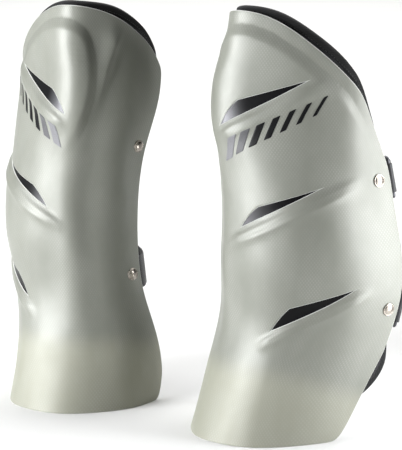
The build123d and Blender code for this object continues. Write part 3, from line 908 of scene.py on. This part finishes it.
def stripe_parts():
    """Slanted bars under the upper slot, thinner towards the outer side."""
    run, rise = np.subtract(STRIPE_TO, STRIPE_FROM)
    climb = rise / run
    bars = []
    for share in np.linspace(0, 1, STRIPE_COUNT):
        s = STRIPE_FROM[0] + run * share
        z = STRIPE_FROM[1] + rise * share
        half = STRIPE_HALF_WIDTH * (1 - 0.62 * share)
        height = STRIPE_HALF_HEIGHT * (1 - 0.25 * share)
        corners = []
        for side, t in ((-1, -1), (1, -1), (1, 1), (-1, 1)):
            ds = STRIPE_LEAN * t + half * side
            corners.append((s + ds, z + height * t + ds * climb))
        outline = softened(flat(corners), 0.35, 0.35)
        bar = moulded_slab([outline], 0.9, STRIPE_DEPTHS, 0.08, rim_steps=2)
        bar.values["silver"] = np.full(len(bar.verts), 0.9 * (1 - smoothstep(share / 0.34)))
        bars.append(bar)
    return join(bars)


add("shell_moulded", shell_part(), PEARL, ["shell"])
for slot_name in SLOTS:
    add(f"inlay_{slot_name}", inlay_part(slot_name), INLAY, [f"slot_inlay_{slot_name}"])
add("stripes", stripe_parts(), GRAPHIC, ["stripe_graphic"])


# --- liner: pad, lining, binding, stitches ----------------------------------------------------------
def on_liner(s, z, depth):
    return surface(s + overhang(s, z), z, depth)


CHANNELS = tuple(round(0.1 + 0.1 * k, 2) for k in range(9))
BINDING_INSET = 8.0
LINER_LOOP_STEP = 2.0
PAD_CAP = 1.4 * MM
PAD_VOXEL = 3.2 * MM
PAD_STEPS = 20


def liner_outline(step):
    return softened(edge_loop(-LINER_REACH, 1 + LINER_REACH, liner_low, liner_top), 5.0, step)


def quilting(s, z):
    """Depth added to the liner's inner face: crowned between the sewn channels, pulled in on them."""
    s = np.asarray(s, float)
    z = np.asarray(z, float)
    nearest = np.min([np.abs(s - c) for c in CHANNELS], axis=0) * ROUND_MM
    low, high = liner_low(s), liner_top(s)
    from_rim = np.minimum(np.minimum(z - low, high - z), ROUND_MM * np.minimum(s, 1 - s) + 1.2)
    full = smoothstep((from_rim - 8) / 12)
    crown = 1.3 * np.sqrt(np.clip(nearest / 15, 0, 1)) * full
    seam = 1.5 * np.exp(-(nearest / 1.6) ** 2) * full
    return crown - seam


def evaluated(piece):
    """The piece with its modifiers worked out."""
    return piece.evaluated_get(bpy.context.evaluated_depsgraph_get())


def corners_of(mesh):
    """A mesh's vertex places, one row each."""
    places = np.empty(len(mesh.vertices) * 3)
    mesh.vertices.foreach_get("co", places)
    return places.reshape(-1, 3)


def inflated(piece, start_points):
    """The pad blown up a little as cloth, no point moving farther than PAD_CAP."""
    scene = bpy.context.scene
    cloth = piece.modifiers.new("inflate", "CLOTH")
    cloth.settings.quality = 5
    cloth.settings.mass = 0.3
    cloth.settings.use_pressure = True
    cloth.settings.uniform_pressure_force = 4.0
    cloth.settings.tension_stiffness = 15
    cloth.settings.compression_stiffness = 15
    cloth.settings.bending_stiffness = 2
    cloth.settings.effector_weights.gravity = 0
    for step in range(1, PAD_STEPS + 1):
        scene.frame_set(step)
    moved = corners_of(evaluated(piece).data) - start_points
    piece.modifiers.clear()
    scene.frame_set(1)
    far = np.linalg.norm(moved, axis=1, keepdims=True)
    return start_points + moved * np.minimum(1, PAD_CAP / np.maximum(far, 1e-9))


def unrolled(points_mm, depth):
    """s and height of points near the surface at that depth, by nearest sample."""
    s, z = np.meshgrid(np.linspace(-0.02, 1.02, 420), np.arange(28, 392, 1.5), indexing="ij")
    samples = on_liner(s.ravel(), z.ravel(), depth)
    tree = kdtree.KDTree(len(samples))
    for i, p in enumerate(samples):
        tree.insert(p, i)
    tree.balance()
    near = np.array([tree.find(p)[1] for p in points_mm])
    return s.ravel()[near], z.ravel()[near]


def pad_part():
    """The liner's foam pad with its nylon cover, rounded and blown up a little, with sewn channels."""
    middle = LINER_DEPTH + 0.5 * FOAM_T
    depths = (LINER_DEPTH + 0.4, LINER_DEPTH + FOAM_T - 0.6)
    rough = moulded_slab([inset(liner_outline(3.0), 3.0)], 3.2, depths, 2.6,
                         rise=None, rim_steps=5, square=1.0, shape=on_liner)
    piece = new_object("pad_work", Part(rough.verts, rough.faces), "left", LINER)
    remesh = piece.modifiers.new("even", "REMESH")
    remesh.mode = "VOXEL"
    remesh.voxel_size = PAD_VOXEL
    even = bpy.data.meshes.new_from_object(evaluated(piece))
    piece.modifiers.clear()
    piece.data = even
    even.vertices.foreach_set("co", inflated(piece, corners_of(even)).ravel())
    piece.modifiers.new("finer", "SUBSURF").levels = 1
    fine = bpy.data.meshes.new_from_object(evaluated(piece))
    faces = [tuple(f.vertices) for f in fine.polygons]
    bpy.data.objects.remove(piece)
    mm = from_world_left(corners_of(fine))
    s, z = unrolled(mm, middle)
    base = on_liner(s, z, middle)
    inward = unit(on_liner(s, z, middle + 1) - base)
    rise = ((mm - base) * inward).sum(1)
    share = smoothstep((rise - 0.5) / 2.0)
    mm = mm + inward * (quilting(s, z) * share)[:, None]
    return Part(mm, faces)


def from_world_left(points):
    """Metres in the frame to the left guard's own millimetres."""
    across, back, turn = LEFT_PLACE
    angle = math.radians(turn)
    x = points[:, 0] / MM - across + PAIR_CENTRE[0]
    y = points[:, 1] / MM - back + PAIR_CENTRE[1]
    return np.stack([x * math.cos(angle) + y * math.sin(angle),
                     -x * math.sin(angle) + y * math.cos(angle), points[:, 2] / MM], 1)


def lining_part():
    loop = inset(liner_outline(2.2), 2.4)
    top = LINER_DEPTH + FOAM_T + 0.15
    depths = (lambda s, z: top + quilting(s, z), lambda s, z: top + LINING_T + quilting(s, z))
    return moulded_slab([loop], 2.2, depths, 0.3, rise=None, rim_steps=2, shape=on_liner)


def binding_part():
    """Tape folded round the liner's rim: closed section swept round the outline."""
    loop = liner_outline(LINER_LOOP_STEP)
    near = LINER_DEPTH - 0.55
    far = LINER_DEPTH + FOAM_T + LINING_T + 0.75
    middle, half = 0.5 * (near + far), 0.5 * (far - near)
    outer = [(BINDING_INSET, near), (BINDING_INSET - 2, near - 0.05), (4.5, near), (3.0, near)]
    for a in np.linspace(-0.5 * math.pi, 0.5 * math.pi, 11):
        outer.append((2.0 - 2.6 * math.cos(a), middle + half * math.sin(a)))
    outer += [(3.0, far), (4.5, far), (BINDING_INSET - 2, far + 0.05), (BINDING_INSET, far)]
    section = list(outer)
    for x, depth in outer[::-1]:
        fold = 0.55 if abs(depth - middle) < 0.9 * half else 0.0
        section.append((x + fold, depth + 0.5 * (middle - depth) / half))
    normals = loop_normals(loop)
    count, size = len(loop), len(section)
    reach = np.arange(count) * LINER_LOOP_STEP
    verts = np.empty((count, size, 3))
    flow = np.empty((count, size, 3))
    for k, (x, depth) in enumerate(section):
        at = loop - normals * x
        verts[:, k] = on_liner(at[:, 0] / ROUND_MM, at[:, 1], depth)
        flow[:, k] = np.stack([reach, np.full(count, x), np.full(count, depth)], 1)
    grid = np.arange(count * size).reshape(count, size)
    faces = [face for a, b in zip(grid, np.roll(grid, -1, axis=0)) for face in quads(a, b)]
    return Part(verts.reshape(-1, 3), faces, flow=flow.reshape(-1, 3))


def seam_on(path, depth, pitch, radius, closed=False):
    """Stitches along (u, v) points at a depth function or number, on the side away from the foam."""
    if closed:
        path = np.concatenate([path, path[:1]])
    reach = reached(path)
    count = int(reach[-1] / pitch)
    at = np.arange(count) * pitch
    ends = []
    for shift in (0.12, 0.80):
        uv = np.stack([np.interp(at + shift * pitch, reach, path[:, k]) for k in (0, 1)], 1)
        s, z = uv[:, 0] / ROUND_MM, uv[:, 1]
        ends.append((s, z, depth(s, z) if callable(depth) else depth))
    (s0, z0, d0), (s1, z1, d1) = ends
    start, end = on_liner(s0, z0, d0), on_liner(s1, z1, d1)
    out = unit(on_liner(s0, z0, d0 - 1.0) - start)
    if np.mean(d0) > LINER_DEPTH + 0.5 * FOAM_T:
        out = -out
    part = thread(start, end, out, radius)
    part.values["flow"] = part.verts.copy()
    return part


def liner_stitches():
    loop = liner_outline(LINER_LOOP_STEP)
    row = inset(loop, BINDING_INSET - 2.2)
    inner_face = LINER_DEPTH + FOAM_T + LINING_T
    seams = [seam_on(row, depth, 3.4, 0.28, True) for depth in (LINER_DEPTH - 0.62, inner_face + 0.82)]
    for c in CHANNELS:
        z = np.linspace(liner_low(c) + 14, liner_top(c) - 14, 60)
        path = np.stack([np.full(60, c * ROUND_MM), z], 1)
        seams.append(seam_on(path, lambda s, z: inner_face + 0.2 + quilting(s, z), 3.6, 0.3))
    return join(seams)


pads = add("liner_pad", pad_part(), LINER, ["liner_foam"])
linings = add("lining_knit", lining_part(), LINING, ["liner_lining"])
add("rim_binding", binding_part(), BINDING, ["liner_binding"])
add("liner_stitches", liner_stitches(), THREAD, [])


# --- hook-and-loop patches between shell and liner --------------------------------------------------
def patch_parts(depths, pitch):
    parts = []
    for (first, last), (low, high) in HOOK_PATCHES:
        corners = flat(((first, low), (last, low), (last, high), (first, high)))
        outline = softened(corners, 1.6, 1.2)
        parts.append(moulded_slab([outline], pitch, depths, 0.25, rise=None, rim_steps=2))
    return join(parts)


add("hook_tapes", patch_parts(HOOK_TAPE_DEPTHS, 2.5), HOOK_TAPE, ["hook_patches"])
add("loop_tapes", patch_parts(LOOP_TAPE_DEPTHS, 2.5), LOOP_TAPE, ["loop_patches"])


# --- rivets -----------------------------------------------------------------------------------------
def rivet_part(name):
    """Domed cap with a turned rim, on a shank with a rolled end."""
    s, z = RIVETS[name]
    tail = -(WASHER_DEPTH + WASHER_T + 0.15)
    profile = [(0.0, RIVET_DOME)]
    profile += [(r, RIVET_DOME - 0.85 * (r / 4.5) ** 2) for r in np.linspace(0.6, 4.5, 8)]
    profile += [(4.65, 1.08), (4.75, 0.98), (4.9, 0.98), (5.05, 1.10), (5.4, 1.12), (5.75, 0.95),
                (5.98, 0.62), (RIVET_CAP_R, 0.35), (5.9, 0.12), (5.6, 0.08),
                (RIVET_SHANK_R + 0.15, 0.08), (RIVET_SHANK_R, -0.1),
                (RIVET_SHANK_R, tail + 0.25), (RIVET_SHANK_R - 0.25, tail), (0.0, tail)]
    out = outward(s, z)
    return lathe(profile, 40, surface(s, z) + out * relief(s, z), out)


for rivet_name in RIVETS:
    add(f"cap_rivet_{rivet_name}", rivet_part(rivet_name), NICKEL, [f"rivet_{rivet_name}"])


# --- straps, tabs, tails ----------------------------------------------------------------------------
RING_TURN = 62.0
TAB_REACH = 4.2
TAB_LIFT = 0.6
TAB_W = 26.0
TAB_T = 1.6
TAB_EYE_R = 3.0
TAB_EYE_BORE = 1.75
STRAP_CURVE_R = 92.0
CLOSING = {
    "upper": (230.0, 244.0, ((-36, 55), (-47, 38), (-55, 22), (-60, 8))),
    "lower": (115.0, 123.0, ((-32, 66), (-44, 46), (-53, 27), (-59, 9))),
}
STRAP_GAP = 1.3


class RingFrame:
    """Axes at a ring's front bar: along leads to the rear bar, out leaves the leg, up is the bar."""

    def __init__(self, level):
        z = CLOSING[level][0]
        edge = surface(1.0, z, STRAP_DEPTH)
        self.up = unit(surface(1.0, z + 15, STRAP_DEPTH) - surface(1.0, z - 15, STRAP_DEPTH))
        out = outward(0.995, z)
        out = unit(out - self.up * (out @ self.up))
        self.tangent = unit(np.cross(out, self.up))
        if self.tangent @ (edge - surface(0.95, z, STRAP_DEPTH)) < 0:
            self.tangent = -self.tangent
        self.bar = edge + self.tangent * TAB_REACH + out * TAB_LIFT
        lean = math.radians(RING_TURN)
        self.along = self.tangent * math.cos(lean) - out * math.sin(lean)
        self.out = self.tangent * math.sin(lean) + out * math.cos(lean)
        self.rear_bar = self.bar + self.along * RING_PITCH

    def at(self, along, out):
        """A point measured from the rear bar."""
        return self.rear_bar + self.along * along + self.out * out


def strap_arc(ring, distance, lift=0.0):
    """The strap's middle at a distance from the rear bar, on its way round the outer calf."""
    turn = distance / STRAP_CURVE_R
    radius = STRAP_CURVE_R + lift
    return ring.at(radius * math.sin(turn), -TURN_R - STRAP_CURVE_R + radius * math.cos(turn))


def strap_part(level):
    """From the fold at the ring's rear bar, round the calf and under the shell's inner edge."""
    ring = RingFrame(level)
    ring_z, inner_z, bends = CLOSING[level]
    angles = np.radians(np.linspace(92, 262, 18))
    turn = [ring.at(TURN_R * math.cos(a), TURN_R * math.sin(a)) for a in angles]
    route = [strap_arc(ring, d) for d in np.arange(0, TAIL_LENGTH + PULL_TAB_LENGTH + 5, 8.0)]
    count = len(bends) + 1
    for i, (x, y) in enumerate(bends):
        route.append(np.array([x, y, ring_z + (inner_z - ring_z) * (0.45 + 0.5 * (i + 1) / count)]))
    route += [surface(s, inner_z, STRAP_DEPTH) for s in (0.0, 0.03, 0.06, 0.09)]
    band = smooth(route, 150)
    last = unit(surface(0.0, inner_z + 15) - surface(0.0, inner_z - 15))
    share = smoothstep((np.linspace(0, 1, len(band)) - 0.46) / 0.45)[:, None]
    ups = unit(ring.up * (1 - share) + last * share)
    centres = np.concatenate([turn, band])
    ups = np.concatenate([np.tile(ring.up, (len(turn), 1)), ups])
    return swept(centres, ups, band_section(STRAP_W, STRAP_T, 1.0, 22))


def tail_path(ring, start, end, count, lift=0.0):
    """Middle of the folded-back tail, which closes onto the strap beyond the ring."""
    centres = []
    for d in np.linspace(start, end, count):
        ease = smoothstep(d / 22.0)
        apart = 2 * TURN_R * (1 - ease) + (STRAP_T + STRAP_GAP) * ease
        centres.append(strap_arc(ring, d, apart + lift))
    return np.array(centres)


def tail_band(level, start, end, count, lift, section):
    ring = RingFrame(level)
    return swept(tail_path(ring, start, end, count, lift), ring.up, section)


def pull_tab_section(share):
    """Ribbed grip with a rounded end."""
    end = max(0.0, (share - 0.55) / 0.45)
    width = (STRAP_W - 1) * (0.62 + 0.38 * math.sqrt(max(0.0, 1 - end * end)))
    rib = 0.5 * (1 + math.cos(2 * math.pi * share * 5))
    return band_section(width, PULL_TAB_T * (0.74 + 0.26 * rib), 1.4, 16)


def tail_stitches(level):
    """A box of stitches that holds the hook tape and the pull tab to the tail."""
    ring = RingFrame(level)
    half = 0.5 * STRAP_W - 3.2
    lift = 0.5 * STRAP_T + 0.05
    first, last = TAIL_LENGTH - TAIL_HOOK_LENGTH + 1, TAIL_LENGTH - 2
    lines = [tail_path(ring, first, last, 26, lift) + ring.up * side for side in (-half, half)]
    for d in (first, last - 0.5):
        middle = tail_path(ring, d, d + 0.1, 2, lift)[0]
        lines.append(middle + ring.up * np.linspace(-half, half, 19)[:, None])
    centre = ring.at(0, -TURN_R - STRAP_CURVE_R)
    part = join([thread(line[:-1], line[:-1] + 0.62 * np.diff(line, axis=0), unit(line[:-1] - centre), 0.26)
                 for line in lines])
    part.values["flow"] = part.verts.copy()
    return part


def tab_part(level):
    """Riveted strip under the shell's outer edge that ends in an eye round the ring's front bar."""
    ring = RingFrame(level)
    s_rivet, z = RIVETS["outer_" + level]
    route = [surface(s, z, STRAP_DEPTH) for s in np.linspace(s_rivet - 0.045, 1.0, 6)]
    route.append(ring.bar - ring.tangent * (0.5 * (TAB_EYE_R + TAB_EYE_BORE)))
    centres = smooth(route, 40)
    strip = swept(centres, ring.up, band_section(TAB_W, TAB_T, 0.9, 16, ribs=0.12, rib_pitch=2.6))
    wall = 0.5 * (TAB_EYE_R - TAB_EYE_BORE)
    middle = 0.5 * (TAB_EYE_R + TAB_EYE_BORE)
    end = 0.5 * TAB_W - wall
    profile = []
    for sign, angles in ((-1, np.linspace(math.pi, 0, 7)), (1, np.linspace(0, math.pi, 7))):
        profile += [(middle + wall * math.cos(a), sign * (end + wall * math.sin(a))) for a in angles]
    eye = lathe(profile, 32, ring.bar, ring.up, helper=tuple(ring.tangent))
    strip.values.clear()
    return join([strip, eye])


for level_name in LEVEL_NAMES:
    tail_body = f"{level_name}_tail"
    add(f"strap_band_{level_name}", strap_part(level_name), WEBBING, [f"strap_{level_name}"])
    tail_section = band_section(STRAP_W, STRAP_T, 1.0, 22)
    tail = tail_band(level_name, 0.4, TAIL_LENGTH, 60, 0.0, tail_section)
    add(f"tail_band_{level_name}", tail, WEBBING, [f"strap_tail_{level_name}"], tail_body)
    hook_section = band_section(STRAP_W - 3, TAIL_HOOK_T, 0.5, 14)
    hook_lift = -0.5 * (STRAP_T + TAIL_HOOK_T) - 0.1
    hook_start, hook_end = TAIL_LENGTH - TAIL_HOOK_LENGTH, TAIL_LENGTH - 1
    hook = tail_band(level_name, hook_start, hook_end, 24, hook_lift, hook_section)
    add(f"tail_hooks_{level_name}", hook, HOOK_TAPE, [f"tail_hook_{level_name}"], tail_body)
    grip = tail_band(level_name, TAIL_LENGTH + 0.1, TAIL_LENGTH + PULL_TAB_LENGTH, 60, 0.25,
                     pull_tab_section)
    add(f"pull_grip_{level_name}", grip, RUBBER, [f"pull_tab_{level_name}"], tail_body)
    add(f"tail_stitches_{level_name}", tail_stitches(level_name), THREAD, [], tail_body)
    add(f"eye_tab_{level_name}", tab_part(level_name), NYLON, [f"ring_tab_{level_name}"])
# The rings and washers are the CAD's own nodes, in better materials.
METALS = {"ring_upper": BLACK_STEEL, "ring_lower": BLACK_STEEL, "rivet_washers": NICKEL}
for side_name in SIDES:
    for node_name, metal in METALS.items():
        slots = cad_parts[f"{side_name}_{node_name}"].data.materials
        slots.clear()
        slots.append(metal)


# --- studio -----------------------------------------------------------------------------------------
def floor():
    """A wide flat sheet of pale paper."""
    steps = np.linspace(-16, 16, 9)
    verts = [(x, y, 0.0) for y in steps for x in steps]
    grid = np.arange(len(verts)).reshape(len(steps), -1)
    faces = [face for a, b in zip(grid[:-1], grid[1:]) for face in quads(a, b)[:-1]]
    mesh = bpy.data.meshes.new("studio_floor")
    mesh.from_pydata(verts, [], faces)
    mesh.materials.append(floor_material())
    linked("studio_floor", mesh)


def studio_air():
    """Air that is pale near the horizon and dim overhead, so that the softboxes do the lighting."""
    world = bpy.data.worlds.new("studio_air")
    world.use_nodes = True
    tree = world.node_tree
    height = tree.nodes.new("ShaderNodeSeparateXYZ")
    tree.links.new(tree.nodes.new("ShaderNodeTexCoord").outputs["Generated"], height.inputs[0])
    fade = tree.nodes.new("ShaderNodeMapRange")
    tree.links.new(height.outputs["Z"], fade.inputs[0])
    for k, value in enumerate((0.0, 0.12, 0.45, 0.015)):
        fade.inputs[k + 1].default_value = value
    background = tree.nodes["Background"]
    background.inputs["Color"].default_value = (0.97, 0.98, 1.0, 1)
    tree.links.new(fade.outputs[0], background.inputs["Strength"])
    bpy.context.scene.world = world


DAYLIGHT = (0.965, 0.975, 1.0)
WHITE = (1.0, 1.0, 1.0)
# Each softbox: where it stands, what it faces, width and height in metres, watts and colour.
SOFTBOXES = {
    "key_left": ((-1.30, -0.58, 0.34), (-0.05, 0.03, 0.20), 0.80, 1.00, 50.0, DAYLIGHT),
    "key_right": ((0.40, -0.19, 0.19), (0.15, -0.09, 0.15), 0.16, 0.46, 2.6, DAYLIGHT),
    "paper_near": ((0.0, 0.9, 2.4), (0.0, 1.9, 0.0), 3.0, 1.2, 72.0, WHITE),
    "paper_far": ((0.0, 6.5, 2.8), (0.0, 6.6, 0.0), 8.0, 9.0, 430.0, WHITE),
    "paper_front": ((0.0, -7.0, 3.2), (0.0, -7.1, 0.0), 8.0, 6.0, 50.0, WHITE),
}
CAMERA_PLACE = (0.0032, -1.6730, 0.457)
CAMERA_DOWN = 9.68           # degrees below level
CAMERA_LENS = 162.8


def softbox(name, place, target, width, height, power, colour):
    light = bpy.data.lights.new(name, "AREA")
    light.shape = "RECTANGLE"
    light.size, light.size_y = width, height
    light.energy = power
    light.color = colour
    lamp = linked(name, light)
    lamp.location = place
    lamp.rotation_euler = (Vector(target) - Vector(place)).to_track_quat("-Z", "Y").to_euler()
    lamp.visible_camera = False


def camera():
    view = bpy.data.cameras.new("camera")
    view.sensor_fit = "HORIZONTAL"
    view.sensor_width = 36.0
    view.lens = CAMERA_LENS
    view.clip_start, view.clip_end = 0.01, 50
    eye = linked("camera", view)
    eye.location = CAMERA_PLACE
    eye.rotation_euler = (math.radians(90 - CAMERA_DOWN), 0, 0)
    bpy.context.scene.camera = eye


floor()
studio_air()
for softbox_name, settings in SOFTBOXES.items():
    softbox(softbox_name, *settings)
bpy.context.scene.view_settings.view_transform = "Standard"
camera()
